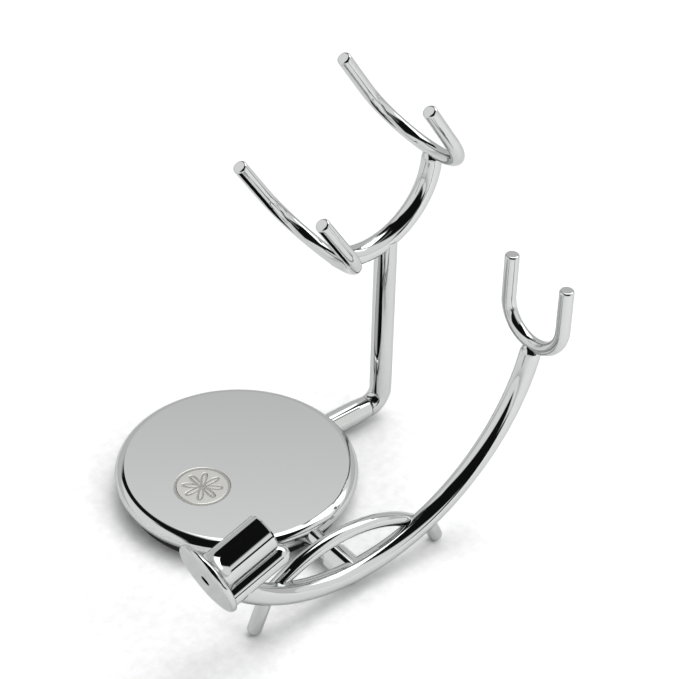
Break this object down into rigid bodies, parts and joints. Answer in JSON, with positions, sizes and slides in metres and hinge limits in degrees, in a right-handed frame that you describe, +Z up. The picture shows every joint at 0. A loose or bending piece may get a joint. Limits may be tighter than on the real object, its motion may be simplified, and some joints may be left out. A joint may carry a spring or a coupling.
{
  "type": "shaving stand",
  "caption": "Chromed shaving stand with a round bowl plate, a two-fork brush cradle on a post and a low bow with a cup and fork for a razor.",
  "frame": {"origin": "on the table, under the middle of the round plate", "axes": "+Z up, +X along the rear arm to the post, -Y along the front arm to the razor bow"},
  "size_m": [0.1417, 0.1143, 0.1328],
  "materials": {
    "chrome": "polished",
    "bare_steel": "machined",
    "black_steel": "black oxide",
    "rubber": "matte"
  },
  "bodies": {
    "root": {"plate_shell": "chrome", "rear_arm": "chrome", "post": "chrome", "brush_bow": "chrome", "front_brush_fork": "chrome", "rear_brush_fork": "chrome", "front_arm": "chrome", "front_socket": "chrome", "razor_bow": "chrome", "razor_fork": "chrome", "razor_cup": "chrome", "cup_rest": "chrome", "leaf_wire": "chrome", "left_foot": "chrome", "right_foot": "chrome", "ballast_disc": "bare_steel", "post_stud": "bare_steel", "grub_screw": "black_steel", "base_pad": "rubber"}
  },
  "joints": []
}
